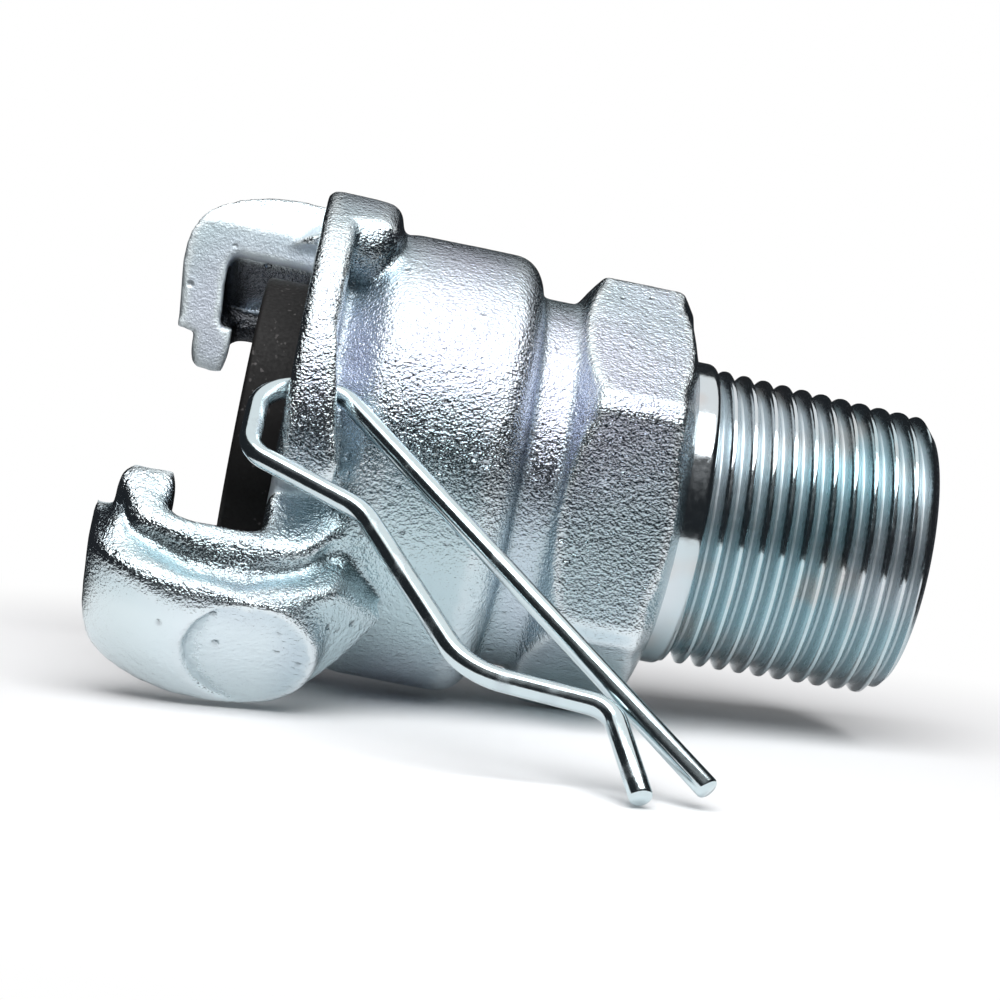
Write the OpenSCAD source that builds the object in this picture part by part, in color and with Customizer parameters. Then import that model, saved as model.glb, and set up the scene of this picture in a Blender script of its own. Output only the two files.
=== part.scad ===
// Claw hose coupling for compressed air, with a male taper pipe thread, lying as it comes to rest.
// Each piece is drawn about its own axis, z running from the sealing face to the thread, then laid down.

/* [Thread] */
// Outside diameter of the thread at its wide end
thread_d = 34.06; // [33.4:0.02:34.6]
// Distance between two crests
thread_pitch = 2.309; // [1.8:0.001:2.4]
// Number of crests
thread_turns = 11; // [8:1:12]
// Depth of the thread, radially
thread_depth = 1.48; // [1:0.02:1.5]
// Taper on the diameter, per millimetre of length
thread_taper = 0.0625; // [0.04:0.0005:0.08]

/* [Collar and hexagon] */
// Diameter of the plain collar beside the thread
collar_d = 34.9; // [34.6:0.1:37]
// Length of the collar, its rounded corner included
collar_len = 2.6; // [1.6:0.1:4]
// Hexagon across its flats
hex_af = 44; // [42:0.5:48]
// Diameter that the hexagon's corners are turned to
hex_corner_d = 49.6; // [48:0.1:50]
// Length of the hexagon
hex_len = 14.4; // [12:0.1:17]
// Turn of the hexagon about the axis, against the claws
hex_turn = 36; // [0:1:59]

/* [Body] */
// Diameter of the round body
body_d = 50.4; // [48:0.2:52]
// Diameter of the neck between body and hexagon
neck_d = 42.1; // [38:0.1:44]
// Length of the neck
neck_len = 4.4; // [3:0.1:7]
// Distance from the sealing face to the end of the body's rounded shoulder
body_end = 30.4; // [29:0.1:33]
// Bore of the air way
bore_d = 24; // [20:0.5:26]

/* [Ears] */
// Distance from the sealing face to the front of the flange
flange_z = 4.9; // [4:0.1:5.5]
// Height of the ears above the body
ear_rise = 3.3; // [2.5:0.1:4.5]
// Diameter of the flange between the ears, and of the recess behind them
recess_d = 43; // [42:0.2:45]
// Thickness of an ear at its thin end
ear_t = 3.9; // [3.4:0.1:4.5]
// Rise of the ramp on the back of an ear, at its thick end
ramp_rise = 3; // [2:0.1:3.5]
// Angle that the ramp covers
ramp_angle = 34; // [28:1:40]
// Angle that an ear covers
ear_angle = 92; // [86:1:96]
// Angle that the stop boss covers at the end of an ear
boss_angle = 24; // [18:1:28]
// Distance from the sealing face to the end of the stop boss
boss_z = 13.7; // [12.5:0.1:15]
// Diameter of the clip hole
clip_hole_d = 3.8; // [3.2:0.1:4.2]
// Distance of the clip hole from the outside of the ear
hole_inset = 3.6; // [3.2:0.1:4.4]

/* [Claws] */
// Distance between the flat faces of the two claws
claw_gap = 41; // [40:0.2:42.4]
// Thickness of a claw's arm
arm_t = 8; // [7:0.1:9]
// Clearance between a claw's arm and the ear of the other head
ear_clear = 0.8; // [0.5:0.1:1.5]
// Reach of a claw in front of the sealing face
claw_reach = 11.9; // [10:0.1:12.5]
// Thickness of a claw's lip
lip_t = 5.6; // [4:0.1:6]
// Angle of a claw's rounded end above the level of the axis
claw_end_angle = 27; // [22:1:32]
// Height of the bevel that leads from the flat face to the outside of a claw
face_bevel = 6.8; // [5:0.1:8]
// Height of the lip's tip above the level of the axis
tip_height = 5.6; // [4.5:0.1:7]
// Thickness of the stop rim round the end of a hook
rim_t = 5.6; // [4.5:0.1:6]
// Step of the stop rim into the hook
rim_step = 2; // [1:0.1:2.8]
// Diameter of the round pad on a claw
pad_d = 14.2; // [12:0.1:17]
// Angle of the pad below the level of the axis
pad_angle = 39.5; // [36:0.5:45]

/* [Gasket] */
// Outside diameter of the gasket's lip
gasket_d = 34.4; // [33:0.2:36]
// Diameter of the gasket's foot, held in its groove
gasket_foot_d = 38; // [37:0.2:39.4]
// Thickness of the gasket's foot
gasket_foot_t = 3; // [2:0.1:4]
// Depth of the gasket's seat below the flange
seat_depth = 6; // [5:0.1:7]
// Clearance round the gasket
gasket_clear = 0.1; // [0.05:0.05:0.3]

/* [Safety clip] */
// Diameter of the wire
wire_d = 2.2; // [1.8:0.1:2.4]
// Angle of the clip's plane below the level of the axis
clip_swing = 37.9; // [30:1:50]

/* [Resting pose] */
// Dip of the axis toward the thread end
rest_dip = 5.53; // [0:0.01:12]
// Roll about the axis
rest_roll = -1.86; // [-20:0.01:20]

/* [Hidden] */
$fn = 96;

neck_end = body_end + neck_len;
hex_end = neck_end + hex_len;
thread_start = hex_end + collar_len;
thread_end = thread_start + thread_turns * thread_pitch;
body_r = body_d / 2;
recess_r = recess_d / 2;
ear_r = body_r + ear_rise;
clip_hole_r = ear_r - hole_inset;
neck_r = neck_d / 2;
arm_r = ear_r + ear_clear;
claw_r = arm_r + arm_t;
seat_z = flange_z + seat_depth;
hole_angle = 168.5;
// The thick end of the near ear and the stop boss end of it, about the axis
ear_from = 190;
ear_to = ear_from - ear_angle;

// Points along an arc, from one angle to another
function arc(cx, cy, r, from, to, steps = 8) =
    [for (i = [0:steps]) let(a = from + (to - from) * i / steps) [cx + r * cos(a), cy + r * sin(a)]];

// A wedge of the plane between two angles, wide enough to cut any section
module wedge(from, to) {
    reach = 3 * claw_r;
    mid = (from + to) / 2;
    polygon([[0, 0], reach * [cos(from), sin(from)], reach * [cos(mid), sin(mid)], reach * [cos(to), sin(to)]]);
}

// What is inside the angle between two directions, over a stretch of the axis
module sector(from, to, z0, z1) {
    translate([0, 0, z0]) linear_extrude(z1 - z0) wedge(from, to);
}

module both_sides() {
    children();
    rotate(180) children();
}

// Round body, neck and the recess behind the ears
module barrel() {
    shoulder_r = 3.6;
    rotate_extrude() polygon(concat(
        [[0, flange_z], [recess_r, flange_z], [recess_r, flange_z + ear_t + 1]],
        [[body_r - 0.4, boss_z], [body_r, boss_z + 2.2], [body_r, body_end - shoulder_r - 1]],
        arc(body_r - shoulder_r, body_end - shoulder_r, shoulder_r, 0, 78, 7),
        [[neck_r, body_end + 0.3], [neck_r, neck_end + 1], [0, neck_end + 1]]));
}

module hexagon() {
    edge = 4;
    corner_r = hex_corner_d / 2;
    intersection() {
        translate([0, 0, neck_end]) rotate(hex_turn) cylinder(h = hex_len, d = hex_af / cos(30), $fn = 6);
        rotate_extrude() polygon(concat(
            [[0, neck_end], [neck_r, neck_end]],
            arc(corner_r - edge, neck_end + edge + 0.6, edge, -66, 0, 6),
            arc(corner_r - edge - 1.6, hex_end - edge - 2.6, edge + 1.6, 0, 70, 6),
            [[collar_d / 2, hex_end], [0, hex_end]]));
    }
}

// Collar, and the thread as rings on its taper
module threaded_end() {
    collar_r = collar_d / 2;
    edge = 0.9;
    crest_r = thread_d / 2;
    rotate_extrude() polygon(concat(
        [[0, hex_end - 1], [collar_r, hex_end - 1]],
        arc(collar_r - edge, thread_start - edge, edge, 0, 90, 4),
        [for (i = [0:thread_turns - 1], k = [0, 1, 2, 3])
            let(along = (i + [0.08, 0.42, 0.58, 0.92][k]) * thread_pitch,
                depth = (k == 0 || k == 3) ? thread_depth : 0)
            [crest_r - depth - along * thread_taper / 2, thread_start + along]],
        [[crest_r - thread_depth - (thread_end - thread_start) * thread_taper / 2, thread_end], [0, thread_end]]));
}

// Section of an ear, from the flange's front face to where its back lies
module ear_section(back_z, edge, back_edge) {
    inner = recess_r - 4;
    rotate_extrude() polygon(concat(
        [[inner, flange_z]],
        arc(ear_r - edge, flange_z + edge, edge, -90, 0, 5),
        arc(ear_r - back_edge, back_z - back_edge, back_edge, 0, 90, 7),
        [[inner, back_z]]));
}

// What is inside the angle between two directions, with the outer corner at the first rounded
module rounded_sector(from, to, z0, z1, outer_r, corner) {
    reach = 3 * claw_r;
    centre_r = outer_r - corner;
    centre_angle = from + asin(corner / centre_r);
    mid = (from + to) / 2;
    translate([0, 0, z0]) linear_extrude(z1 - z0) polygon(concat(
        [[0, 0]],
        arc(centre_r * cos(centre_angle), centre_r * sin(centre_angle), corner, from - 90, centre_angle - 14, 6),
        [for (a = [centre_angle, mid, to]) reach * [cos(a), sin(a)]]));
}

// One ear: a thin flange that rises as a ramp to one end and has a rounded stop boss at the other
module ear() {
    edge = 1.2;
    boss_from = ear_to + boss_angle;
    thin_z = flange_z + ear_t;
    intersection() {
        ear_section(thin_z, edge, edge);
        sector(boss_from, ear_from - ramp_angle, flange_z - 1, boss_z);
    }
    difference() {
        intersection() {
            ear_section(thin_z + ramp_rise + 2, edge, 0.4);
            sector(ear_from - ramp_angle, ear_from, flange_z - 1, boss_z);
        }
        rotate(ear_from - ramp_angle) translate([0, 0, thin_z])
            rotate([atan(ramp_rise / (ear_r * sin(ramp_angle))), 0, 0])
            translate([0, -ear_r, 0]) cube([2 * ear_r, 3 * ear_r, ear_r]);
    }
    intersection() {
        ear_section(boss_z, edge, 2.4);
        rounded_sector(ear_to, boss_from, flange_z - 1, boss_z + 1, ear_r, 3.5);
    }
}

// Section of a claw: its arm, its lip and its root on the body
module claw_section() {
    front = -claw_reach;
    lip_in = claw_gap / 2 + 0.6;
    lip_back = lip_t - claw_reach;
    nose_r = 8.8;
    arm_z = 2;
    nose_z = arm_z - front;
    back_r = 18;
    polygon(concat(
        [[lip_in, front + 1.6], [lip_in + 1.6, front]],
        [for (a = [-90:10:0]) [claw_r - nose_r + nose_r * cos(a), arm_z + nose_z * sin(a)]],
        arc(claw_r - back_r, arm_z, back_r, 4, 32, 5),
        [[body_r - 0.6, boss_z + 8.6], [recess_r - 2, boss_z + 2]],
        [[recess_r - 2, flange_z], [arm_r, flange_z]],
        arc(arm_r - 1.4, lip_back + 1.4, 1.4, 0, -90, 4),
        [[lip_in, lip_back]]));
}

// Section of the stop rim, which follows the hook and steps into it
module rim_section() {
    lip_in = claw_gap / 2 + 0.6;
    rim_back = lip_t - claw_reach + rim_step;
    rim_front = rim_back - rim_t;
    inner = arm_r - rim_step;
    outer = inner + rim_t;
    corner = 6;
    back_r = 8;
    polygon(concat(
        [[lip_in, rim_front + 1.2], [lip_in + 1.2, rim_front]],
        arc(outer - corner, rim_front + corner, corner, -80, 0, 6),
        arc(outer - back_r, flange_z, back_r, 0, 55, 5),
        [[body_r - 0.6, boss_z], [recess_r - 2, boss_z]],
        [[recess_r - 2, flange_z], [inner, flange_z]],
        [[inner, rim_back + 1], [inner - 1, rim_back], [lip_in, rim_back]]));
}

// Plan of the stop rim: it leans away from the lip's tip, and its outer corner is round
module rim_plan(z0, z1) {
    lean = 41.5;
    corner = 2.6;
    tip_to_corner = 8.3;
    ahead = [cos(lean), sin(lean)];
    aside = [-sin(lean), cos(lean)];
    tip = [claw_gap / 2, tip_height];
    centre = tip + tip_to_corner * ahead + corner * aside;
    flank = lean + 70;
    into_claw = claw_end_angle + 2;
    translate([0, 0, z0]) linear_extrude(z1 - z0) polygon(concat(
        [[0, 0], tip - 3 * ahead],
        arc(centre[0], centre[1], corner, lean - 90, flank - 90, 5),
        [claw_r * [cos(into_claw), sin(into_claw)]]));
}

// What lies on a claw's side of its flat face, with the bevel at the face's outer edge
module claw_side() {
    far = claw_r + 5;
    face = claw_gap / 2;
    face_top = sqrt(claw_r * claw_r - face * face) - face_bevel;
    bevel_lean = 64;
    difference() {
        translate([face, -far, -claw_reach - 1]) cube([far, 2 * far, 60]);
        translate([face, face_top, 0]) rotate(bevel_lean) translate([-far, 0, -far]) cube([3 * far, far, 3 * far]);
    }
}

// What is cut from a claw: the slope at the back of its rounded end, and all that stands above the pad
module claw_cuts() {
    slope_start = boss_z + 0.4;
    rotate(claw_end_angle) translate([0, 0, slope_start]) rotate([45, 0, 0])
        translate([0, -claw_r, 0]) cube([2 * claw_r, 3 * claw_r, claw_r]);
    at_pad() cylinder(h = claw_r, d = pad_d);
}

// One claw: a hook that is open toward the flat face, and closed by the stop rim at its rounded end
module claw() {
    difference() {
        intersection() {
            rotate_extrude() claw_section();
            rounded_sector(claw_end_angle, 100, -claw_reach - 1, 40, claw_r, 4);
            claw_side();
        }
        claw_cuts();
    }
    intersection() {
        rotate_extrude() rim_section();
        rim_plan(-claw_reach - 1, 40);
        claw_side();
    }
    pad();
}

// Centre of the flat round pad on the outside of a claw, facing outward
module at_pad() {
    sunk = 1;
    behind_flange = 1.5;
    rotate(pad_angle) translate([claw_r - sunk, 0, flange_z + behind_flange]) rotate([0, 90, 0]) children();
}

module pad() {
    depth = 6;
    at_pad() translate([0, 0, -depth]) cylinder(h = depth, d = pad_d);
}

// Seat of the gasket, undercut to hold its foot
module gasket_seat() {
    mouth_r = gasket_d / 2 + gasket_clear;
    foot_r = gasket_foot_d / 2 + gasket_clear;
    rotate_extrude() polygon([
        [0, flange_z - 1], [mouth_r, flange_z - 1], [mouth_r, seat_z - gasket_foot_t - gasket_clear],
        [foot_r, seat_z - gasket_foot_t - gasket_clear], [foot_r, seat_z], [0, seat_z]]);
}

module clip_hole() {
    rotate(hole_angle) translate([clip_hole_r, 0, flange_z - 1])
        cylinder(h = ear_t + 3, d = clip_hole_d);
}

// Lays the coupling down as it rests: its axis near level, a claw, an ear and the hexagon on the floor
module at_rest() {
    rotate([0, rest_dip, 0]) rotate([rest_roll, 0, 0]) rotate([90, 0, 90]) children();
}

module coupler_body() {
    color("lightsteelblue") at_rest() difference() {
        union() {
            barrel();
            hexagon();
            threaded_end();
            both_sides() ear();
            both_sides() claw();
        }
        gasket_seat();
        translate([0, 0, flange_z]) cylinder(h = thread_end, d = bore_d);
        both_sides() clip_hole();
    }
}

module gasket() {
    edge = 0.5;
    lip_r = gasket_d / 2;
    foot_r = gasket_foot_d / 2;
    color("black") at_rest() rotate_extrude() polygon(concat(
        [[bore_d / 2, 0]],
        arc(lip_r - edge, edge, edge, -90, 0, 4),
        [[lip_r, seat_z - gasket_foot_t], [foot_r, seat_z - gasket_foot_t], [foot_r, seat_z], [bore_d / 2, seat_z]]));
}

// Corners of the clip's wire in its own plane: along the axis, and away from the hole, with each bend's radius
clip_corners = [
    [49, 47.5, 0], [10.7, 0, 3], [2.2, 0, 4.9], [2.3, 12, 3.5], [14.6, 18.1, 6],
    [26.3, 38.1, 7], [40, 39.4, 3], [42.9, 50.2, 0]];

// Points of a route through corners, each corner rounded to its bend radius
function unit(v) = v / norm(v);
function bend(before, corner, after, r, steps = 7) =
    let(a = unit(before - corner), b = unit(after - corner),
        half = acos(a * b) / 2,
        reach = r / tan(half),
        centre = corner + unit(a + b) * r / sin(half),
        start = corner + a * reach - centre,
        side = a[0] * b[1] - a[1] * b[0] > 0 ? -1 : 1,
        turn = side * (180 - 2 * half))
    [for (i = [0:steps]) let(t = turn * i / steps)
        centre + [start[0] * cos(t) - start[1] * sin(t), start[0] * sin(t) + start[1] * cos(t)]];
function xy(c) = [c[0], c[1]];
function route(c) = concat(
    [xy(c[0])],
    [for (i = [1:len(c) - 2]) each bend(xy(c[i - 1]), xy(c[i]), xy(c[i + 1]), c[i][2])],
    [xy(c[len(c) - 1])]);

// A round wire along a route that lies in the plane x = 0, with z along the first coordinate
module wire(points, d, sides = 12) {
    last = len(points) - 1;
    rings = [for (i = [0:last])
        let(ahead = points[min(i + 1, last)] - points[max(i - 1, 0)], n = unit([-ahead[1], ahead[0]]))
        for (k = [0:sides - 1]) let(a = 360 * k / sides)
            [d / 2 * sin(a), points[i][1] + d / 2 * cos(a) * n[1], points[i][0] + d / 2 * cos(a) * n[0]]];
    walls = [for (i = [0:last - 1], k = [0:sides - 1])
        let(a = i * sides + k, b = i * sides + (k + 1) % sides) [a, b, b + sides, a + sides]];
    polyhedron(rings, concat(walls, [[for (k = [sides - 1:-1:0]) k]], [[for (k = [0:sides - 1]) last * sides + k]]));
}

module safety_clip() {
    color("silver") at_rest() rotate(hole_angle) translate([clip_hole_r, 0, 0])
        rotate(clip_swing + 90 - hole_angle) wire(route(clip_corners), wire_d);
}

coupler_body();
gasket();
safety_clip();
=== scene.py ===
# %% [markdown]
# # A hose coupler for compressed air, with claws, a wire clip and a taper pipe thread
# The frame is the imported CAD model. It gives the sizes, the bodies and the joint. This notebook
# dresses it: the casting gets the soft edges of poured iron, the thread becomes a true helix, the
# gasket and the wire get finer meshes, and each gets the finish of the real thing.

# %% Load the frame
import math

import bmesh
import bpy
import numpy as np
from mathutils import Matrix, Vector, noise


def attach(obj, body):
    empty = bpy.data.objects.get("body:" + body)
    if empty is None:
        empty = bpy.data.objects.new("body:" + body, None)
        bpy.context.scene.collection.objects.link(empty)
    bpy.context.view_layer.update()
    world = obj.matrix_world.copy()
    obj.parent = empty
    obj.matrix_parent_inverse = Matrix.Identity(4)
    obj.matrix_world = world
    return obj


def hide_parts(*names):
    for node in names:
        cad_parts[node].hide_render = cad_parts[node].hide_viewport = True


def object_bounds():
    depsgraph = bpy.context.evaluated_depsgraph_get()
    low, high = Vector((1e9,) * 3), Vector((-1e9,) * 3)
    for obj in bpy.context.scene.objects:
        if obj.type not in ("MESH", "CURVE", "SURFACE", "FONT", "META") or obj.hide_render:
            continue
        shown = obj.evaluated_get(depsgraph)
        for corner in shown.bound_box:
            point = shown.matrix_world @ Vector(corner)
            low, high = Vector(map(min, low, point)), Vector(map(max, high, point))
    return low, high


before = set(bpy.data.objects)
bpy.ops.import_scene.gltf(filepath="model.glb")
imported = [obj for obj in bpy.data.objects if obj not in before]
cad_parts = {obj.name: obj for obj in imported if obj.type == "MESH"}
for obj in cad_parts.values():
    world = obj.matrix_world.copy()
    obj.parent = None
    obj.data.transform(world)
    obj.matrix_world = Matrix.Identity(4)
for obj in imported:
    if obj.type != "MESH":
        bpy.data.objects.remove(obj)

cad_low, cad_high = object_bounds()
print("CAD box in mm:", [round(1000 * x, 2) for x in (*cad_low, *cad_high)])

# %% [markdown]
# ## One frame of its own for the coupling
# The coupler lies tilted on the bench. Its pieces are easier to draw about their own axis, with z
# running from the sealing face to the thread, as the part's source does. A matrix then lays them
# down. The other way is to draw everything in the bench's frame, where no size is a round number.

# %% The axis, and how the coupler lies
MM = 0.001
REST_DIP = 5.53
REST_ROLL = -1.86


def turn(degrees, axis):
    """A turn about one of the axes X, Y or Z."""
    return Matrix.Rotation(math.radians(degrees), 4, axis)


LIE_DOWN = turn(REST_DIP, "Y") @ turn(REST_ROLL, "X")
FROM_AXIS = LIE_DOWN @ turn(90, "Z") @ turn(90, "X") @ Matrix.Scale(MM, 4)
ALONG = (FROM_AXIS.to_3x3() @ Vector((0, 0, 1))).normalized()
print("axis of the coupling:", [round(x, 5) for x in ALONG])


def add_object(name, data):
    """A new object in the scene, round a mesh, a lamp or a camera."""
    made = bpy.data.objects.new(name, data)
    bpy.context.scene.collection.objects.link(made)
    return made


def add_mesh(name, points, faces):
    """A new mesh object from points in metres."""
    mesh = bpy.data.meshes.new(name)
    mesh.from_pydata(points, [], faces)
    return add_object(name, mesh)


def new_piece(name, points, faces):
    """A piece of the coupling, from points in millimetres about its own axis."""
    return add_mesh(name, [FROM_AXIS @ Vector(p) for p in points], faces)


def outward(piece):
    """Turns every face outward, shades the piece smooth and prints its triangles."""
    work = bmesh.new()
    work.from_mesh(piece.data)
    bmesh.ops.recalc_face_normals(work, faces=work.faces)
    for face in work.faces:
        face.smooth = True
    work.to_mesh(piece.data)
    work.free()
    triangles = sum(len(p.vertices) - 2 for p in piece.data.polygons)
    print(piece.name, "has", triangles, "triangles")


# %% [markdown]
# ## The camera
# The photograph was taken from the side. The fitted camera looks down by about two degrees and is
# rolled by about six. Its place and two directions are given in the coupling's own frame, so the
# view stays the same if the coupler comes to rest at another tilt.

# %% Camera
CAMERA_PLACE = Vector((9.07, -273.21, -2.48))
CAMERA_RIGHT = Vector((0.9781, -0.0770, 0.1935))
CAMERA_DOWN = Vector((0.1930, -0.0152, -0.9811))
FOCAL_PIXELS = 2400
FRAME_PIXELS = 1000
SENSOR_MM = 36.0

camera_data = bpy.data.cameras.new("camera")
camera_data.sensor_width = SENSOR_MM
camera_data.lens = FOCAL_PIXELS / FRAME_PIXELS * SENSOR_MM
camera_data.clip_start = 0.01
camera = add_object("camera", camera_data)
bpy.context.scene.camera = camera

lie = LIE_DOWN.to_3x3()
right = (lie @ CAMERA_RIGHT).normalized()
up = -(lie @ CAMERA_DOWN)
up = (up - up.dot(right) * right).normalized()
camera.matrix_world = Matrix((right, up, right.cross(up))).transposed().to_4x4()
camera.location = lie @ CAMERA_PLACE * MM
print("camera looks along", [round(x, 3) for x in -right.cross(up)])

# %% [markdown]
# ## The casting
# The head is poured in sand, cleaned and plated, so it has no sharp edge anywhere. Bevels on a
# body with so many meeting forms break down. A voxel remesh turns the CAD solid into an even net,
# and a few rounds of smoothing then soften all edges and hollows alike, as the sand mould does.
# The thread is machined afterwards, so the casting is cut off where the turned part begins.

# %% Casting: cut off the threaded end
HEX_END = 49.2
HEX_OVERLAP = 0.2
SAME_POINT = 1e-6
VOXEL = 0.36 * MM
SMOOTH_ROUNDS = 7
MOST_TRIANGLES = 190000

head_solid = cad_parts["coupler_body"]
casting = add_object("casting", head_solid.data.copy())


def cut_off(work, z, side):
    """Cuts a mesh square to the axis at z mm and drops what lies beyond, on the side of 1 or -1."""
    return bmesh.ops.bisect_plane(
        work, geom=work.verts[:] + work.edges[:] + work.faces[:],
        plane_co=ALONG * z * MM, plane_no=ALONG * side, clear_outer=True)


work = bmesh.new()
work.from_mesh(casting.data)
bmesh.ops.remove_doubles(work, verts=work.verts, dist=SAME_POINT)
cut = cut_off(work, HEX_END - HEX_OVERLAP, 1)
rim = [e for e in cut["geom_cut"] if isinstance(e, bmesh.types.BMEdge)]
bmesh.ops.triangle_fill(work, use_beauty=True, edges=rim, normal=ALONG)
open_edges = sum(not e.is_manifold for e in work.edges)
print("casting cut; open edges left:", open_edges)

# %% [markdown]
# Two forms of the real casting are fuller than the CAD solid: the hexagon's corners run nearly to
# its ends, and the stop bosses are round knobs. Both are added as closed shells that overlap the
# solid. The voxel net that follows keeps only the outside of them all, so nothing has to be joined
# with booleans. The hexagon's shell is hollow, or it would stop up the air way.

# %% Casting: fuller hexagon and knobs
HEX_START = 34.8
HEX_TURN = 36
HEX_FLAT = 22.0
HEX_CORNER = 24.8
HEX_INSIDE = 0.65
KNOB_ANGLE = 119.5
KNOB_AT_R = 24.7
KNOB_R = 3.7
KNOB_Z = (7.0, 10.0)
KNOB_POINTS = 12


def round_points(count, r, z, x=0.0, y=0.0):
    """Points of a circle square to the axis, round the place x, y."""
    return [(x + r * math.cos(math.tau * i / count), y + r * math.sin(math.tau * i / count), z)
            for i in range(count)]


def add_shell(work, rings, hollow=False):
    """A closed shell through rings of points in mm. A hollow one ends on its first ring."""
    loops = [[work.verts.new(FROM_AXIS @ Vector(p)) for p in points] for points in rings]
    for low, high in zip(loops, loops[1:] + loops[:1] * hollow):
        for i in range(len(low)):
            k = (i + 1) % len(low)
            work.faces.new((low[i], low[k], high[k], high[i]))
    if not hollow:
        work.faces.new(reversed(loops[0]))
        work.faces.new(loops[-1])


off_corner = math.degrees(math.acos(HEX_FLAT / HEX_CORNER))
hex_angles = [math.radians(HEX_TURN + 30 + 60 * k + side * off_corner)
              for k in range(6) for side in (-1, 1)]
hex_low, hex_top = 1.0, HEX_END - HEX_START - 1.2
hex_levels = ((hex_low, 0.92), (hex_low + 1.5, 1.0), (hex_top - 1.7, 1.0), (hex_top, 0.90),
              (hex_top, HEX_INSIDE), (hex_low, HEX_INSIDE))
add_shell(work, [[
    (size * HEX_CORNER * math.cos(a), size * HEX_CORNER * math.sin(a), HEX_START + rise)
    for a in hex_angles] for rise, size in hex_levels], hollow=True)

knob_levels = [(KNOB_Z[0], 1.0)] + [
    (KNOB_Z[1] + KNOB_R * math.sin(a), math.cos(a)) for a in map(math.radians, range(0, 85, 14))]
for turned_by in (0, 180):
    middle = math.radians(KNOB_ANGLE + turned_by)
    x, y = KNOB_AT_R * math.cos(middle), KNOB_AT_R * math.sin(middle)
    add_shell(work, [round_points(KNOB_POINTS, size * KNOB_R, z, x, y) for z, size in knob_levels])
work.to_mesh(casting.data)
work.free()
print("with fuller forms:", len(casting.data.polygons), "faces")


# %% Casting: even net, soft edges
def apply_modifiers(piece):
    """Replaces the piece's mesh with what its modifiers make of it."""
    graph = bpy.context.evaluated_depsgraph_get()
    made = bpy.data.meshes.new_from_object(piece.evaluated_get(graph))
    piece.modifiers.clear()
    piece.data = made


remesh = casting.modifiers.new("net", "REMESH")
remesh.mode = "VOXEL"
remesh.voxel_size = VOXEL
smooth = casting.modifiers.new("soft", "SMOOTH")
smooth.factor = 0.5
smooth.iterations = SMOOTH_ROUNDS
apply_modifiers(casting)
print("net of", len(casting.data.polygons), "faces")

# %% [markdown]
# The claws' backs are rounded far more than the rest of the casting. More rounds for the whole
# would blur the hexagon too, so a vertex group picks the backs out by place, and a second smoothing
# works on that group alone. Places are in millimetres about the axis: x and y across it, z along
# it, and "beside" is how far a point lies on a claw's own side of the axis.

# %% Casting: round the backs of the claws
CLAW_ROUNDS = 110
BACK_FROM_X = 21.2
ROOT_FROM_Z, ROOT_FROM_R, ROOT_END_Z = 9, 25.2, 27
TIP_FROM_X, TIP_BESIDE, TIP_SHARE = 19.5, 9.5, 0.4
BOSS_LOW_Z, BOSS_HIGH_Z, BOSS_FROM_R, BOSS_SHARE = 8.5, 14.5, 21, 0.35
INTO_AXIS = FROM_AXIS.inverted()


def smooth_step(x):
    """A soft rise from 0 to 1, for one number."""
    x = min(1.0, max(0.0, x))
    return x * x * (3 - 2 * x)


def claw_share(at):
    """How much a point is rounded: 1 on the claws' backs, less on their tips and on the bosses."""
    beside = at.y if at.x > 0 else -at.y
    radius = math.hypot(at.x, at.y)
    if beside < 0:
        return (BOSS_SHARE * smooth_step((at.z - BOSS_LOW_Z) / 2)
                * smooth_step((radius - BOSS_FROM_R) / 2) * (at.z < BOSS_HIGH_Z))
    back = smooth_step((abs(at.x) - BACK_FROM_X) / 2.5)
    root = smooth_step((at.z - ROOT_FROM_Z) / 3) * smooth_step((radius - ROOT_FROM_R) / 1.5)
    tip = TIP_SHARE * smooth_step(abs(at.x) - TIP_FROM_X) * smooth_step((TIP_BESIDE - beside) / 2)
    most = max(back, root, tip)
    return most * smooth_step((beside - 2) / 3) * smooth_step((ROOT_END_Z - at.z) / 5)


group = casting.vertex_groups.new(name="claw_backs")
picked = 0
for vertex in casting.data.vertices:
    weight = claw_share(INTO_AXIS @ vertex.co)
    if weight > 0:
        group.add([vertex.index], weight, "REPLACE")
        picked += 1
soft = casting.modifiers.new("soft_claws", "SMOOTH")
soft.factor = 0.5
soft.iterations = CLAW_ROUNDS
soft.vertex_group = "claw_backs"
apply_modifiers(casting)
print("points on the claws' backs:", picked)

# %% [markdown]
# A groove runs round each claw's end, between the stop rim and the shoulder. It follows a curve
# that is given here by a few points along the axis and away from the axis's level. Points of the
# net near the curve sink along their normals. The same step gives each hook the small set that the
# casting took in its mould: the one beside the clip reaches a little further than the other. Last,
# the round pad on each back is pressed flat again, which leaves a faint rim round it.

# %% Casting: helpers for all points at once
TO_AXIS = np.array(INTO_AXIS)
TO_BENCH = np.array(FROM_AXIS)


def soft_steps(x):
    """A soft rise from 0 to 1, for an array."""
    x = np.clip(x, 0, 1)
    return x * x * (3 - 2 * x)


def read_points(mesh, what="co"):
    """The places of a mesh's points, or their normals, as rows."""
    values = np.empty(3 * len(mesh.vertices))
    mesh.vertices.foreach_get(what, values)
    return values.reshape(-1, 3)


def write_points(mesh, places):
    """Moves the points of a mesh."""
    mesh.vertices.foreach_set("co", places.ravel())
    mesh.update()


def mark_points(mesh, name, values):
    """Stores a number for each point, which a finish can read by its name."""
    marks = mesh.attributes.new(name, "FLOAT", "POINT")
    marks.data.foreach_set("value", values.astype(np.float32))


print("points in the net:", len(read_points(casting.data)))

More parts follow.
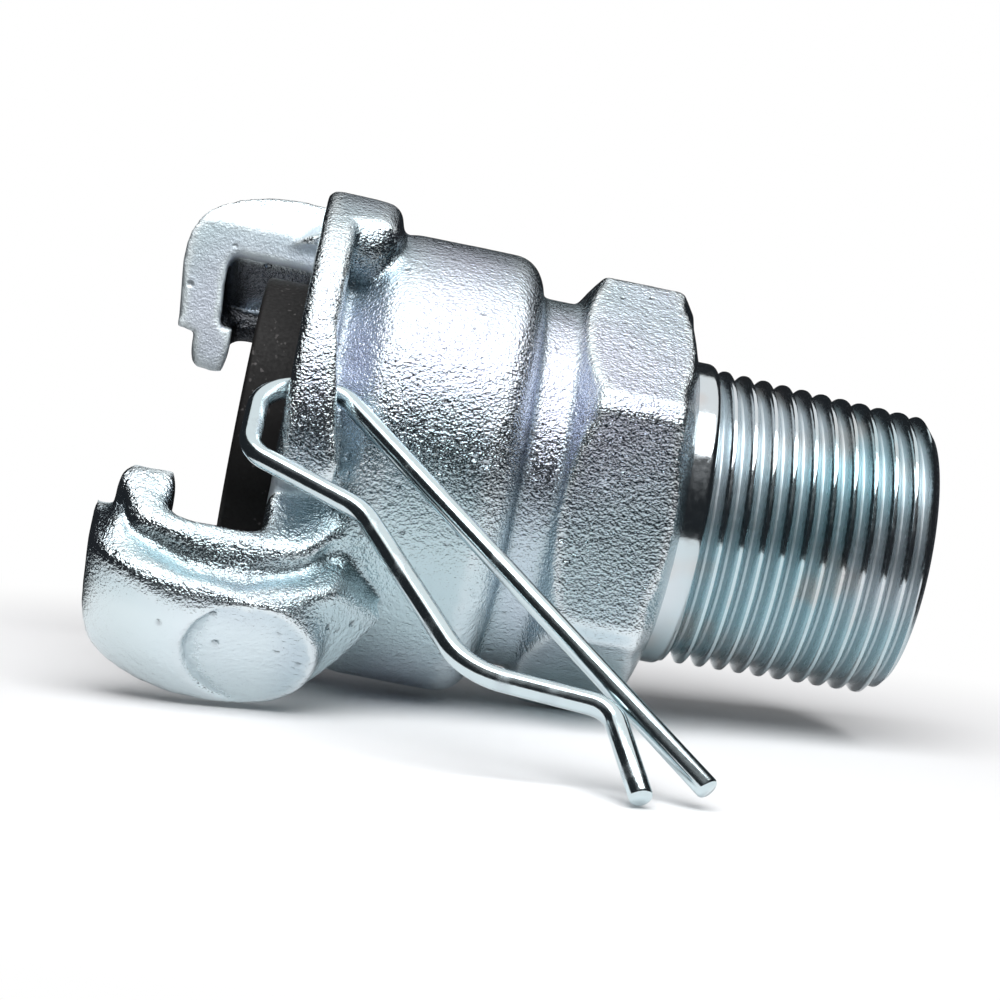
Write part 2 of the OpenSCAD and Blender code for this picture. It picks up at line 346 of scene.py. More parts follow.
# %% Casting: grooves, set of the hooks, and pads
GROOVE = np.array([(-12.6, 5.5), (-10.5, 8.8), (-7.5, 12.3), (-1.5, 14.7),
                   (4.2, 15.1), (9.75, 13.2), (12.6, 11.4)])
GROOVE_DEPTH = 1.0
GROOVE_WIDTH = 1.1
GROOVE_FROM_X = 22.5
FAR_HOOK_SET, NEAR_HOOK_SET = 1.5, -0.6
HOOK_FROM_X = 18
PAD_ANGLE = math.radians(39.5)
PAD_LEVEL = 35.95
PAD_R = 7.1
PAD_Z = 6.4

at = read_points(casting.data) @ TO_AXIS[:3, :3].T + TO_AXIS[:3, 3]
out = read_points(casting.data, "normal") @ TO_AXIS[:3, :3].T * MM
x, y, z = at.T
sign = np.where(x > 0, 1, -1)
beside = y * sign
here = np.stack([z, beside], 1)
far_off = np.full(len(at), np.inf)
for a, b in zip(GROOVE, GROOVE[1:]):
    share = np.clip(((here - a) @ (b - a)) / ((b - a) @ (b - a)), 0, 1)[:, None]
    far_off = np.minimum(far_off, np.linalg.norm(here - a - share * (b - a), axis=1))
sink = GROOVE_DEPTH * np.exp(-(far_off / GROOVE_WIDTH) ** 2)
sink *= (soft_steps((np.abs(x) - GROOVE_FROM_X) / 2) * (beside > 2)
         * soft_steps((0.5 - out[:, 1] * sign) / 0.5))
at -= out * sink[:, None]

reach = soft_steps((-1 - z) / 9) * (beside > 0) * soft_steps((np.abs(x) - HOOK_FROM_X) / 2)
tip = 0.35 + 0.65 * soft_steps((21 - beside) / 12)
at[:, 2] += reach * tip * np.where(x > 0, FAR_HOOK_SET, NEAR_HOOK_SET)

facing = np.stack([np.cos(PAD_ANGLE) * sign, np.sin(PAD_ANGLE) * sign], 1)
rise = (at[:, :2] * facing).sum(1)
aside = at[:, 1] * facing[:, 0] - at[:, 0] * facing[:, 1]
on_pad = soft_steps((PAD_R - np.hypot(aside, at[:, 2] - PAD_Z)) / 0.5)
at[:, :2] -= facing * (np.maximum(rise - PAD_LEVEL, 0) * on_pad)[:, None]
write_points(casting.data, at @ TO_BENCH[:3, :3].T + TO_BENCH[:3, 3])
print("deepest groove in mm:", round(float(sink.max()), 2))


# %% [markdown]
# A casting isn't flat between its edges either: the sand gives way here and there. Slow noise
# moves the points by a few hundredths of a millimetre along their normals, which makes the
# reflections waver. The same pass notes how sharply each point stands out from its neighbours, for
# the finish to use: plating is brighter on worn edges, and hollows are rougher and get painted
# shade.
# the finish to use: plating is brighter on edges and dull in hollows.

# %% Casting: waver and edges
def edge_measure(mesh, rounds):
    """How far each point stands out of its surroundings, in metres, positive on edges."""
    at, normal, count = read_points(mesh), read_points(mesh, "normal"), len(mesh.vertices)
    pairs = np.empty(2 * len(mesh.edges), int)
    mesh.edges.foreach_get("vertices", pairs)
    a, b = pairs.reshape(-1, 2).T
    share = np.bincount(a, minlength=count) + np.bincount(b, minlength=count)
    share = np.maximum(share, 1)[:, None]
    soft = at.copy()
    for _ in range(rounds):
        total = np.stack([
            np.bincount(a, soft[b, k], count) + np.bincount(b, soft[a, k], count)
            for k in range(3)], 1)
        soft = 0.5 * soft + 0.5 * total / share
    return ((at - soft) * normal).sum(1)


SLOW_WAVER, SLOW_PER_M = 0.030, 260
QUICK_WAVER, QUICK_PER_M = 0.018, 700
QUICK_SHIFT = Vector((3, 5, 7))
EDGE_ROUNDS = 24

place, normal = read_points(casting.data), read_points(casting.data, "normal")
waver = np.array([
    SLOW_WAVER * noise.noise(Vector(p) * SLOW_PER_M)
    + QUICK_WAVER * noise.noise(Vector(p) * QUICK_PER_M + QUICK_SHIFT) for p in place])
write_points(casting.data, place + normal * (waver * MM)[:, None])

thin = casting.modifiers.new("thin", "DECIMATE")
thin.ratio = min(1.0, MOST_TRIANGLES / (2 * len(casting.data.polygons)))
apply_modifiers(casting)


def keep_largest(piece):
    """Drops the specks that the net may leave beside the piece itself."""
    work = bmesh.new()
    work.from_mesh(piece.data)
    left, parts = set(work.verts), []
    while left:
        part = [left.pop()]
        for vert in part:
            for edge in vert.link_edges:
                other = edge.other_vert(vert)
                if other in left:
                    left.discard(other)
                    part.append(other)
        parts.append(part)
    parts.sort(key=len)
    bmesh.ops.delete(work, geom=[vert for part in parts[:-1] for vert in part], context="VERTS")
    work.to_mesh(piece.data)
    work.free()
    print("specks dropped:", len(parts) - 1)


keep_largest(casting)
outward(casting)

edge = edge_measure(casting.data, EDGE_ROUNDS) / MM
mark_points(casting.data, "standing", edge)
print("edge measure in mm:", np.percentile(edge, [1, 10, 50, 90, 99]).round(3))

# %% [markdown]
# The claws differ a little from the rest of the casting. Their flat faces and backs are finer and
# duller and a little paler; on the near claw's outer back the paleness is a painted reflection of
# the bright bench. The inside of the far hook is painted near black: painted shade. Two more marks
# say where these places are. Faces of the CAD solid could tell that too, but the net has lost them.

# %% Casting: where the claws and the inside of the far hook are
FLAT_FACE_X = 20.5
HOOK_INNER_X, HOOK_OUTER_X, HOOK_R = 20.6, 28, 29.9
HOOK_LOW_Z, HOOK_HIGH_Z = -6.9, 6

x, y, z = (read_points(casting.data) @ TO_AXIS[:3, :3].T).T
side = np.where(x > 0, y, -y)
radius = np.hypot(x, y)
on_claw = soft_steps((side - 2) / 3) * soft_steps((12 - z) / 5)
inner_face = soft_steps(np.abs(x) - (FLAT_FACE_X - 1.5)) * soft_steps(FLAT_FACE_X + 1.5 - np.abs(x))
# The near claw's outer back gets a far larger share than the far claw's back: that extra paleness
# is a painted reflection of the bright bench under it.
back = (soft_steps(np.abs(x) - (FLAT_FACE_X + 0.5))
        * np.where(x > 0, 0.1, 0.1 + 0.6 * soft_steps((side - 17) / 4)))
claws = on_claw * np.maximum(inner_face, back)
# Painted shade: this mark picks the inside of the far hook, which the finish paints near black.
far_hook_shade = (soft_steps((np.abs(x) - HOOK_INNER_X) / 0.8) * soft_steps(HOOK_OUTER_X - np.abs(x))
         * soft_steps((side - 8) / 2) * soft_steps((HOOK_R - radius) / 0.8)
         * soft_steps((z - HOOK_LOW_Z) / 0.6) * soft_steps((HOOK_HIGH_Z - z) / 1.2) * soft_steps(x))
for name, values in (("claws", claws), ("far_hook_shade", far_hook_shade)):
    mark_points(casting.data, name, values)
    print(name, "cover", int((values > 0.5).sum()), "points")

# %% [markdown]
# ## The threaded end
# A taper pipe thread has eleven crests to the inch, cut as one long screw. Rings would look alike
# from the side, but the ends give them away. The net here follows the screw: each row of points
# climbs one pitch in a turn, so the crests stay crisp with few points. Two planes then trim it.

# %% Threaded end: the screw's surface
THREAD_R = 34.06 / 2
PITCH = 2.309
THREAD_DEPTH = 1.48
THREAD_TAPER = 0.0625
THREAD_START = 51.8
THREAD_TURNS = 11
THREAD_END = THREAD_START + THREAD_TURNS * PITCH
CREST_SHIFT = -0.695
COLLAR_R = 34.9 / 2
COLLAR_EDGE = 0.9
COLLAR_SLOPE = 2.2
CREST_FLAT, FLANK = 0.06, 0.86
LEAD_IN, LEAD_SLOPE = 0.9, 1.1
BORE_R = 12.0
ROUND_POINTS = 144
PITCH_POINTS = 14


def thread_radius(z, angle):
    """Outside radius of the turned end at a place along the axis and round it, in mm."""
    crest = THREAD_R - (z - THREAD_START) * THREAD_TAPER / 2
    wave = ((z - THREAD_START) / PITCH - CREST_SHIFT - angle / math.tau) % 1.0
    lift = abs(2 * wave - 1)
    screw = crest - THREAD_DEPTH * (1 - smooth_step((lift - CREST_FLAT) / FLANK))
    screw = min(screw, crest - THREAD_DEPTH * LEAD_IN + LEAD_SLOPE * (THREAD_END - z))
    over = z - (THREAD_START - COLLAR_EDGE)
    if over <= 0:
        return COLLAR_R
    if over < COLLAR_EDGE:
        collar = COLLAR_R - COLLAR_EDGE + math.sqrt(COLLAR_EDGE ** 2 - over ** 2)
    else:
        collar = COLLAR_R - COLLAR_EDGE - COLLAR_SLOPE * (over - COLLAR_EDGE)
    return max(screw, collar)


start_z, end_z = HEX_END - 1.0, THREAD_END
first = start_z - 1.5 * PITCH
rows = int((end_z - start_z) / PITCH * PITCH_POINTS) + 3 * PITCH_POINTS
points, faces = [], []
for row in range(rows):
    for i in range(ROUND_POINTS):
        angle = math.tau * i / ROUND_POINTS
        z = first + (row / PITCH_POINTS + i / ROUND_POINTS) * PITCH
        r = thread_radius(min(z, end_z + 1), angle)
        points.append((r * math.cos(angle), r * math.sin(angle), z))
for row in range(rows - 1):
    for i in range(ROUND_POINTS):
        here, up_one = row * ROUND_POINTS + i, (row + 1) * ROUND_POINTS + i
        if i < ROUND_POINTS - 1:
            faces.append((here, here + 1, up_one + 1, up_one))
        elif row + PITCH_POINTS + 1 < rows:
            over = (row + PITCH_POINTS) * ROUND_POINTS
            faces.append((here, over, over + ROUND_POINTS, up_one))
threaded_end = new_piece("threaded_end", points, faces)

# %% Threaded end: trim, bore and end faces
BORE_POINTS = 96
BORE_EDGE = 0.6
SHARP_FROM = math.radians(35)

work = bmesh.new()
work.from_mesh(threaded_end.data)
cut_off(work, start_z, -1)
cut_off(work, end_z, 1)
bmesh.ops.delete(work, geom=[v for v in work.verts if not v.link_faces], context="VERTS")
outer = [e for e in work.edges if e.is_boundary]


def ring(z, r):
    """A loop of new edges round the axis."""
    made = [work.verts.new(FROM_AXIS @ Vector(p)) for p in round_points(BORE_POINTS, r, z)]
    return [work.edges.new((made[i], made[(i + 1) % BORE_POINTS])) for i in range(BORE_POINTS)]


inner = [ring(start_z, BORE_R), ring(end_z - BORE_EDGE, BORE_R), ring(end_z, BORE_R + BORE_EDGE)]
bmesh.ops.bridge_loops(work, edges=inner[0] + inner[1])
bmesh.ops.bridge_loops(work, edges=inner[1] + inner[2])
for z, loop in ((start_z, inner[0]), (end_z, inner[2])):
    near = [e for e in outer if abs(e.verts[0].co.dot(ALONG) - z * MM) < 0.05 * MM]
    bmesh.ops.triangle_fill(work, use_beauty=True, edges=near + loop, normal=ALONG)
print("threaded end; open edges left:", sum(not e.is_manifold for e in work.edges))
work.to_mesh(threaded_end.data)
work.free()
outward(threaded_end)
threaded_end.data.set_sharp_from_angle(angle=SHARP_FROM)

# %% [markdown]
# ## The gasket
# The seal is one ring of black rubber, moulded and then pushed into its groove. It is turned here
# from its section, with the small radius that a mould leaves, and a shallow land on the face that
# presses on the other head.

# %% Gasket
GASKET_R = 34.4 / 2
GASKET_FOOT_R = 38 / 2
SEAT_Z = 10.9
FOOT_T = 3.0
EDGE = 0.55
LAND_DEPTH = 0.12
RING_POINTS = 128


def lathe(name, section):
    """A closed ring from a closed section of (radius, z) points."""
    count = len(section)
    circles = [round_points(RING_POINTS, r, z) for r, z in section]
    points = [circle[i] for i in range(RING_POINTS) for circle in circles]
    faces = [
        (i * count + k, i * count + (k + 1) % count,
         (i + 1) % RING_POINTS * count + (k + 1) % count, (i + 1) % RING_POINTS * count + k)
        for i in range(RING_POINTS) for k in range(count)]
    return new_piece(name, points, faces)


def corner(r, z, radius, start, steps=5):
    """A quarter circle that rounds a corner of a section; start is in quarter turns."""
    return [(r + radius * math.cos(math.pi / 2 * (start + k / steps)),
             z + radius * math.sin(math.pi / 2 * (start + k / steps))) for k in range(steps + 1)]


gasket_section = (
    corner(BORE_R + EDGE, EDGE, EDGE, 2)
    + [(BORE_R + 2.2, 0.0), (BORE_R + 2.4, LAND_DEPTH),
       (GASKET_R - 1.4, LAND_DEPTH), (GASKET_R - 1.2, 0.0)]
    + corner(GASKET_R - EDGE, EDGE, EDGE, 3)
    + [(GASKET_R, SEAT_Z - FOOT_T), (GASKET_FOOT_R, SEAT_Z - FOOT_T), (GASKET_FOOT_R, SEAT_Z),
       (BORE_R, SEAT_Z)])
gasket = lathe("gasket_ring", gasket_section)
outward(gasket)
gasket.data.set_sharp_from_angle(angle=SHARP_FROM)

# %% [markdown]
# ## The safety clip
# The clip is spring wire, bent over pins in one plane. The route's corners are those of the part's
# source, each with the radius of its pin. A tube swept along it, with enough sides to shade as a
# round, keeps the exact thickness, where a bevelled curve would thin at tight bends.

# %% Safety clip
WIRE_R = 1.1
WIRE_SIDES = 24
BEND_STEPS = 14
HOLE_ANGLE = 168.5
HOLE_R = 24.9
CLIP_SWING = 37.9
WIRE_SHARP_FROM = math.radians(50)
WIRE_ENDS = ((0.0, 0.80), (0.10, 0.93), (0.25, 1.0))
CLIP_CORNERS = [
    (49, 47.5, 0), (10.7, 0, 3), (2.2, 0, 4.9), (2.3, 12, 3.5), (14.6, 18.1, 6),
    (26.3, 38.1, 7), (40, 39.4, 3), (42.9, 50.2, 0)]


def bend(before, at, after, radius):
    """Points along the round that a pin of this radius leaves in a corner of the route."""
    at = Vector(at)
    a, b = (Vector(before) - at).normalized(), (Vector(after) - at).normalized()
    half = a.angle(b) / 2
    centre = at + (a + b).normalized() * radius / math.sin(half)
    start = at + a * radius / math.tan(half) - centre
    end = at + b * radius / math.tan(half) - centre
    sweep = start.angle_signed(end)
    return [centre + Matrix.Rotation(-sweep * k / BEND_STEPS, 2) @ start
            for k in range(BEND_STEPS + 1)]


flat_corners = [(z, away) for z, away, _ in CLIP_CORNERS]
route = [Vector(flat_corners[0])]
for k in range(1, len(CLIP_CORNERS) - 1):
    route += bend(*flat_corners[k - 1:k + 2], CLIP_CORNERS[k][2])
route.append(Vector(flat_corners[-1]))

hook_place = (turn(HOLE_ANGLE, "Z") @ Matrix.Translation((HOLE_R, 0, 0))
              @ turn(CLIP_SWING + 90 - HOLE_ANGLE, "Z"))
points, faces, stations = [], [], []
for k, at in enumerate(route):
    ahead = (route[min(k + 1, len(route) - 1)] - route[max(k - 1, 0)]).normalized()
    if k == 0:
        stations += [(at + ahead * step, ahead, size) for step, size in WIRE_ENDS]
    elif k == len(route) - 1:
        stations += [(at - ahead * step, ahead, size) for step, size in reversed(WIRE_ENDS)]
    else:
        stations.append((at, ahead, 1.0))
for at, ahead, size in stations:
    for i in range(WIRE_SIDES):
        a = math.tau * i / WIRE_SIDES
        side = WIRE_R * size * math.cos(a)
        points.append(hook_place @ Vector((
            WIRE_R * size * math.sin(a), at.y + side * ahead.x, at.x - side * ahead.y)))
for k in range(len(stations) - 1):
    for i in range(WIRE_SIDES):
        a, b = k * WIRE_SIDES + i, k * WIRE_SIDES + (i + 1) % WIRE_SIDES
        faces.append((a, b, b + WIRE_SIDES, a + WIRE_SIDES))
faces.append(tuple(range(WIRE_SIDES)))
faces.append(tuple((len(stations) - 1) * WIRE_SIDES + i for i in range(WIRE_SIDES)))
clip = new_piece("clip_wire", points, faces)
outward(clip)
clip.data.set_sharp_from_angle(angle=WIRE_SHARP_FROM)
print("wire length in mm:", round(sum((b - a).length for a, b in zip(route, route[1:])), 1))

# %% [markdown]
# ## Shader sums in Python
# A finish is easier to read as a sum than as a web of nodes. One class wraps a socket, and each
# sign in an expression adds the node that does it. Colours and vectors go through their own
# nodes, because a plain Math node would turn them grey.


# %% A socket that can stand in a sum
class Level:
    """A socket of a material that can stand in a Python expression."""

    def __init__(self, finish, socket):
        self.finish, self.socket = finish, socket

    def sum(self, sign, first, second):
        """Adds the node for a sign: Math for numbers, Vector Math as soon as one is a vector."""
        vectors = [x.socket.type in ("VECTOR", "RGBA") if isinstance(x, Level)
                   else isinstance(x, tuple) for x in (first, second)]
        if not any(vectors):
            return self.finish.node("Math", {"operation": sign}, {0: first, 1: second})
        if sign == "MULTIPLY" and not all(vectors):
            vector, number = (first, second) if vectors[0] else (second, first)
            return self.finish.node(
                "VectorMath", {"operation": "SCALE"}, {0: vector, "Scale": number})
        return self.finish.node("VectorMath", {"operation": sign}, {0: first, 1: second})

    def __add__(self, other): return self.sum("ADD", self, other)
    def __radd__(self, other): return self.sum("ADD", other, self)
    def __sub__(self, other): return self.sum("SUBTRACT", self, other)
    def __rsub__(self, other): return self.sum("SUBTRACT", other, self)
    def __mul__(self, other): return self.sum("MULTIPLY", self, other)
    def __rmul__(self, other): return self.sum("MULTIPLY", self, other)

    def ramp(self, low, high):
        """0 below low, 1 above high, and a soft rise between."""
        return self.finish.node(
            "MapRange", {"interpolation_type": "SMOOTHSTEP"},
            {"Value": self, "From Min": low, "From Max": high})

    def mix(self, low, high):
        """A colour that goes from low to high with this level."""
        return self.finish.node(
            "Mix", {"data_type": "RGBA"}, {"Factor": self, 6: low, 7: high}, output=2)


class Finish:
    """A material under construction."""

    def __init__(self, name):
        self.material = bpy.data.materials.new(name)
        self.material.use_nodes = True
        self.tree = self.material.node_tree
        self.tree.nodes.clear()

    def node(self, kind, settings=None, values=None, output=0):
        """Adds a node: its settings first, then the values or links of its sockets."""
        made = self.tree.nodes.new("ShaderNode" + kind)
        for key, value in (settings or {}).items():
            setattr(made, key, value)
        for key, value in (values or {}).items():
            socket = made.inputs[key]
            if isinstance(value, Level):
                self.tree.links.new(value.socket, socket)
            else:
                socket.default_value = (*value, 1) if socket.type == "RGBA" else value
        return Level(self, made.outputs[output]) if made.outputs else None

    def place(self):
        """Where a point lies on the object, in metres."""
        return self.node("TexCoord", output=3)

    def noise(self, place, scale, detail=2.0, rough=0.5):
        """Soft noise from 0 to 1, with this many swings to a metre."""
        return self.node("TexNoise", None, {
            "Vector": place, "Scale": scale, "Detail": detail, "Roughness": rough})

    def mark(self, name):
        """A number that was stored for each point of the mesh."""
        return self.node("Attribute", {"attribute_name": name}, output=2)

    def bump(self, height, distance):
        """A normal that leans with a height; 1 stands for this distance in metres."""
        return self.node("Bump", None, {"Height": height, "Distance": distance, "Strength": 1.0})

    def metal(self, colour, rough, normal):
        """Closes the material as a metal."""
        return self.close(self.node("BsdfPrincipled", None, {
            "Base Color": colour, "Roughness": rough, "Metallic": 1.0, "Normal": normal}))

    def close(self, surface):
        """Joins a surface to the output, and gives the material."""
        self.node("OutputMaterial", None, {"Surface": surface})
        print("finish", self.material.name, "has", len(self.tree.nodes), "nodes")
        return self.material


# %% [markdown]
# ## Plated casting
# Zinc follows every grain of the sand. What the eye sees is a glitter of grains about a third of
# a millimetre wide, with the odd deeper pit, and a blue-white metal that turns a little lavender
# where the passivation is thicker. Two noises at different scales make the grain, a Voronoi field
# with only its deepest cells kept makes the pits, and slow noise drives the tint. The marks that
# the mesh carries make edges bright and the claws finer; they also paint shade in the hollows and
# inside the far hook, and a painted reflection of the bright bench on the near claw's back.

# %% Plated casting: the relief of the sand
GRAIN_PER_M, SAND_PER_M, LUMPS_PER_M, PITS_PER_M = 3600, 1700, 300, 420
PATCHES_PER_M, TINT_PER_M = 60, 38
CAST_RELIEF = 0.16 * MM

cast = Finish("zinc_plated_casting")
at = cast.place()
grain = cast.noise(at, GRAIN_PER_M, rough=0.55)
sand = cast.noise(at, SAND_PER_M, rough=0.6)
lumps = cast.noise(at, LUMPS_PER_M)
cells = cast.node(
    "TexVoronoi", {"feature": "F1"}, {"Vector": at, "Scale": PITS_PER_M, "Randomness": 1.0})
pits = (1 - cells.ramp(0.05, 0.24)) * lumps.ramp(0.50, 0.62)
patches = cast.noise(at, PATCHES_PER_M).ramp(0.40, 0.62)
claws = cast.mark("claws")
coarse = 1 - claws * 0.6
normal = cast.bump(
    (grain * (0.8 + patches * 0.3) + sand) * coarse + lumps * 0.5 - pits, CAST_RELIEF)
print("grains per mm:", GRAIN_PER_M * MM)

# %% Plated casting: colour and gloss
BLUE_ZINC, LAVENDER_ZINC = (0.53, 0.66, 0.70), (0.62, 0.66, 0.76)
CLAW_ZINC_AND_PAINTED_LIGHT, EDGE_ZINC = (0.78, 0.87, 0.89), (0.76, 0.83, 0.86)
HOLLOW_SHADE, HOOK_PAINTED_SHADE, PIT_FLOOR = (0.34, 0.43, 0.47), (0.02, 0.02, 0.02), (0.25, 0.28, 0.30)

standing = cast.mark("standing")
edge = standing.ramp(0.02, 0.22)
hollow = (standing * -1).ramp(0.02, 0.25)
flat_face = claws.ramp(0.88, 1.0)
tint = cast.noise(at, TINT_PER_M, 1.0).ramp(0.35, 0.70).mix(BLUE_ZINC, LAVENDER_ZINC)
# Paler claws: lighter plating on both, and on the near claw's outer back a painted reflection of
# the bright bench.
pale_and_painted_light = (claws * (1 - flat_face * 0.8)).mix(tint, CLAW_ZINC_AND_PAINTED_LIGHT)
worn = edge.mix(pale_and_painted_light, EDGE_ZINC)
# Painted shade: the colour darkens in hollows.
hollow_shaded = (hollow * 0.5).mix(worn, HOLLOW_SHADE)
# Painted shade: the inside of the far hook is painted near black.
shaded = (cast.mark("far_hook_shade") * 0.93).mix(hollow_shaded, HOOK_PAINTED_SHADE)
colour = (pits * 0.5).mix(shaded, PIT_FLOOR)
rough = 0.10 + grain.ramp(0.35, 0.75) * 0.05 + hollow * 0.15 + claws * 0.12 + flat_face * 0.34
cast_material = cast.metal(colour, rough, normal)

# %% [markdown]
# ## Plated thread
# The thread is cut before plating, so it is far smoother than the casting: fine turning lines run
# round it, and the zinc there shows straw and blue tints. The lines come from noise that is
# read along the axis and across it only, never round it, which makes rings.

# %% Plated thread
LINES_PER_M, SPECKS_PER_M, BLUE_PER_M, STRAW_PER_M = 5200, 1700, 55, 140
THREAD_BLUE, THREAD_GREY, STRAW = (0.52, 0.66, 0.70), (0.64, 0.69, 0.72), (0.62, 0.54, 0.50)
THREAD_ROOT_SHADE = (0.24, 0.32, 0.36)
TURNED_RELIEF = 0.012 * MM

turned = Finish("zinc_plated_thread")
at = turned.place()
along = turned.node("VectorMath", {"operation": "DOT_PRODUCT"}, {0: at, 1: ALONG}, output=1)
off_axis = at - along * tuple(ALONG)
radius = turned.node("VectorMath", {"operation": "LENGTH"}, {0: off_axis}, output=1)
rings = turned.node("CombineXYZ", None, {"X": along, "Y": radius, "Z": 0.0})
lines = turned.noise(rings, LINES_PER_M, rough=0.6)
specks = turned.noise(at, SPECKS_PER_M, rough=0.55)
crest_here = THREAD_R * MM - (along - THREAD_START * MM) * (THREAD_TAPER / 2)
depth = ((crest_here - radius) * (1 / (THREAD_DEPTH * MM))).ramp(0.25, 0.95)
normal = turned.bump(lines * 0.6 + specks * 0.5, TURNED_RELIEF)
blue = turned.noise(at, BLUE_PER_M, 1.0).ramp(0.35, 0.65).mix(THREAD_BLUE, THREAD_GREY)
straw = (turned.noise(at, STRAW_PER_M, 1.0).ramp(0.55, 0.72) * 0.45).mix(blue, STRAW)
# Painted shade: the colour darkens toward the roots of the thread.
colour = (depth * 0.3).mix(straw, THREAD_ROOT_SHADE)
rough = 0.10 + specks.ramp(0.4, 0.7) * 0.06 + depth * 0.28
turned_material = turned.metal(colour, rough, normal)

# %% [markdown]
# ## Bright wire
# Drawn wire is nearly a mirror, with faint scratches and a few dull spots where it was gripped.

# %% Bright wire
SCRATCHES_PER_M, SPOTS_PER_M = 1500, 240
BRIGHT_WIRE, DULL_WIRE = (0.62, 0.72, 0.75), (0.46, 0.52, 0.56)
WIRE_RELIEF = 0.010 * MM

wire = Finish("plated_wire")
at = wire.place()
scratches = wire.noise(at, SCRATCHES_PER_M, 3.0, 0.6)
spots = wire.noise(at, SPOTS_PER_M).ramp(0.58, 0.70)
normal = wire.bump(scratches, WIRE_RELIEF)
colour = (spots * 0.4).mix(BRIGHT_WIRE, DULL_WIRE)
rough = 0.13 + spots * 0.14 + scratches.ramp(0.4, 0.8) * 0.05
wire_material = wire.metal(colour, rough, normal)

# %% [markdown]
# ## Rubber
# Nitrile rubber is never quite black: mould release and dust leave pale specks on a matt face.

# %% Rubber
FINE_PER_M, DUST_PER_M, DUST_PATCHES_PER_M, CLOUD_PER_M = 2600, 1500, 200, 120
RUBBER_BLACK, RUBBER_GREY = (0.004, 0.004, 0.004), (0.010, 0.009, 0.009)
DUST_GREY = (0.14, 0.13, 0.13)
RUBBER_RELIEF = 0.03 * MM

rubber = Finish("black_rubber")
at = rubber.place()
fine = rubber.noise(at, FINE_PER_M, 3.0, 0.6)
specks = rubber.noise(at, DUST_PER_M, 1.0).ramp(0.66, 0.74)
dust = specks * rubber.noise(at, DUST_PATCHES_PER_M, 1.0).ramp(0.45, 0.6)
cloud = rubber.noise(at, CLOUD_PER_M)
colour = (dust * 0.5).mix(cloud.mix(RUBBER_BLACK, RUBBER_GREY), DUST_GREY)
rubber_material = rubber.close(rubber.node("BsdfPrincipled", None, {
    "Base Color": colour, "Roughness": 0.50 + fine.ramp(0.3, 0.7) * 0.18,
    "Normal": rubber.bump(fine, RUBBER_RELIEF), "Specular IOR Level": 0.2}))

# %% [markdown]
# ## Dress the pieces
# Each piece gets its finish and rides on the body that carries it. Its CAD node is then hidden.

# %% Finishes, bodies and nodes
for piece, finish, body, node, slot in (
        (casting, cast_material, "head", "coupler_body", "zinc_plated_casting"),
        (threaded_end, turned_material, "head", "coupler_body", "zinc_plated_casting"),
        (gasket, rubber_material, "head", "gasket", "black_rubber"),
        (clip, wire_material, "clip", "safety_clip", "plated_wire")):
    piece.data.materials.clear()
    piece.data.materials.append(finish)
    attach(piece, body)
    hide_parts(node)
    print(piece.name, "rides on", body)

# %% [markdown]
# ## Bench and light
# The coupler lies on a white sweep under one large soft lamp. Bright metal shows only what is round
# it, so it needs something dark to reflect: the room beyond the table. Here that is a ring of dark
# card with a flat brim, which only reflections see, so it works from every side. The white of the
# room and of the far sweep is there for the camera, for reflections and for glass. To all other
# rays the sweep is matt, and the room is dim: at ROOM_LIGHT it fills the shadows a little.

# %% World
def light_rays(finish):
    """1 for rays from the camera, a reflection or through glass, and 0 for the rest."""
    ports = finish.node("LightPath").socket.node.outputs
    rays = (Level(finish, ports["Is Camera Ray"]) + Level(finish, ports["Is Glossy Ray"])
            + Level(finish, ports["Is Transmission Ray"]))
    return finish.node("Math", {"operation": "MINIMUM"}, {0: rays, 1: 1.0})


class Surround(Finish):
    """The world's own material."""

    def __init__(self):
        self.material = bpy.data.worlds.new("white_room")
        self.material.use_nodes = True
        self.tree = self.material.node_tree
        self.tree.nodes.clear()
        bpy.context.scene.world = self.material


ROOM_LIGHT = 0.22

room = Surround()
strength = ROOM_LIGHT + light_rays(room) * (1.0 - ROOM_LIGHT)
background = room.node("Background", None, {"Color": (1.0, 1.0, 1.0), "Strength": strength})
room.node("OutputWorld", None, {"Surface": background})
print("the room lights the object at", ROOM_LIGHT)

# %% Sweep
FLOOR_HALF = 1.5
WHITE_FROM, WHITE_FULL = 0.07, 0.13

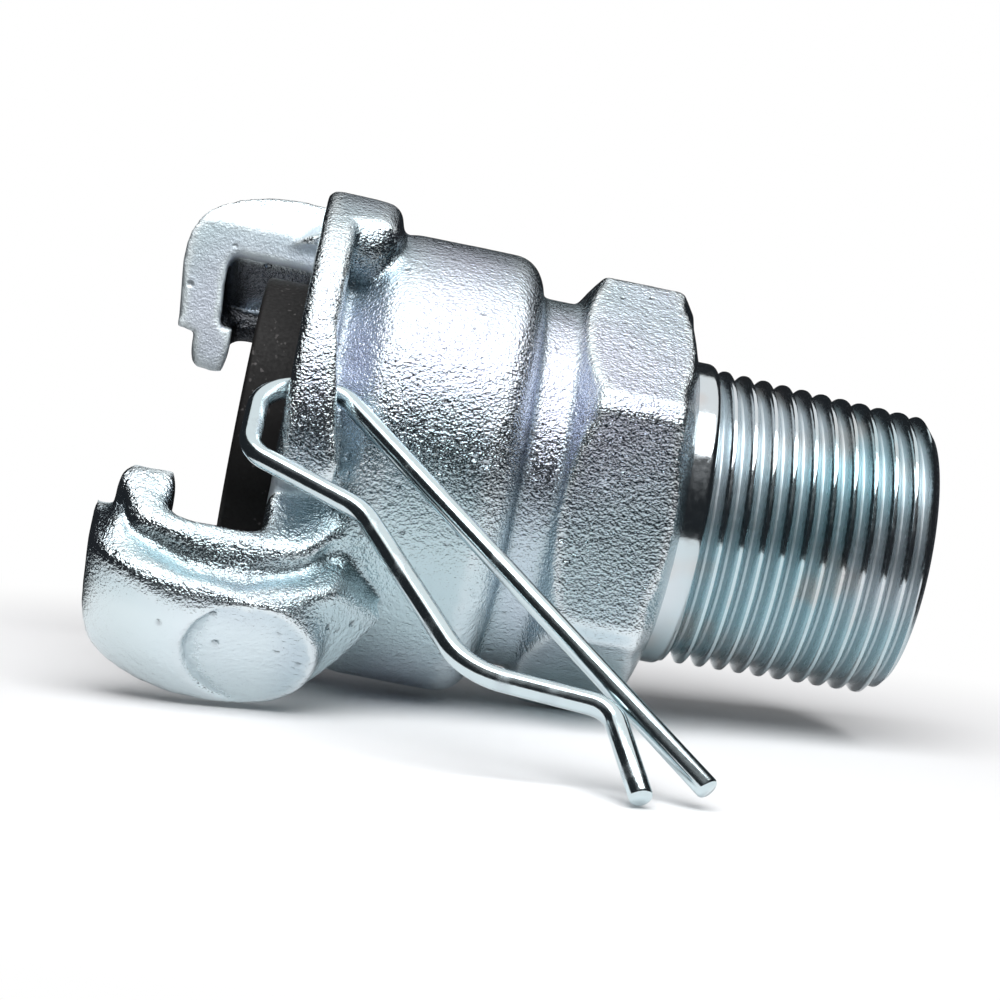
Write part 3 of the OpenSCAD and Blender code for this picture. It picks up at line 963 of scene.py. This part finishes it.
floor_z = cad_low.z
centre = (cad_low + cad_high) / 2
floor = add_mesh("bench_floor", [
    (centre.x + x * FLOOR_HALF, centre.y + y * FLOOR_HALF, floor_z)
    for x, y in ((-1, -1), (1, -1), (1, 1), (-1, 1))], [(0, 1, 2, 3)])
sweep = Finish("white_sweep")
away = sweep.node("VectorMath", {"operation": "DISTANCE"}, {
    0: sweep.place(), 1: (centre.x, centre.y, floor_z)}, output=1)
matt = sweep.node("BsdfDiffuse", None, {"Color": (0.93, 0.93, 0.94)})
glow = sweep.node("Emission", None, {"Color": (1.0, 1.0, 1.0), "Strength": 1.0})
floor.data.materials.append(sweep.close(sweep.node("MixShader", None, {
    0: away.ramp(WHITE_FROM, WHITE_FULL) * light_rays(sweep), 1: matt, 2: glow})))

# %% Dark card ring
CARD_RADIUS = 0.115
CARD_LOW, CARD_HIGH = 0.001, 0.145
CARD_SIDES = 64
CARD_INNER = 0.078
CARD_GREY = (0.02, 0.022, 0.025)

card_levels = ((CARD_INNER, CARD_LOW), (CARD_RADIUS, CARD_LOW), (CARD_RADIUS, CARD_HIGH))
ring_points = [(centre.x + r * math.cos(math.tau * i / CARD_SIDES),
                centre.y + r * math.sin(math.tau * i / CARD_SIDES), floor_z + z)
               for r, z in card_levels for i in range(CARD_SIDES)]
ring_faces = [(k * CARD_SIDES + i, k * CARD_SIDES + (i + 1) % CARD_SIDES,
               (k + 1) * CARD_SIDES + (i + 1) % CARD_SIDES, (k + 1) * CARD_SIDES + i)
              for k in range(len(card_levels) - 1) for i in range(CARD_SIDES)]
card = add_mesh("dark_card", ring_points, ring_faces)
dark = Finish("dark_card")
card.data.materials.append(dark.close(dark.node(
    "Emission", None, {"Color": CARD_GREY, "Strength": 1.0})))
card.visible_camera = card.visible_diffuse = False
card.visible_shadow = card.visible_transmission = False

# %% Lamp
LAMP_PLACE = Vector((0.03, -0.45, 0.61))
LAMP_SIZE = 0.8
LAMP_WATTS = 8.0

lamp_data = bpy.data.lights.new("lamp_front", "AREA")
lamp_data.shape = "SQUARE"
lamp_data.size = LAMP_SIZE
lamp_data.energy = LAMP_WATTS
lamp = add_object("lamp_front", lamp_data)
lamp.location = LAMP_PLACE
lamp.rotation_euler = (centre - LAMP_PLACE).to_track_quat("-Z", "Y").to_euler()
bpy.context.scene.view_settings.view_transform = "Standard"
print("lamp is", round((centre - LAMP_PLACE).length, 2), "m from the coupler")
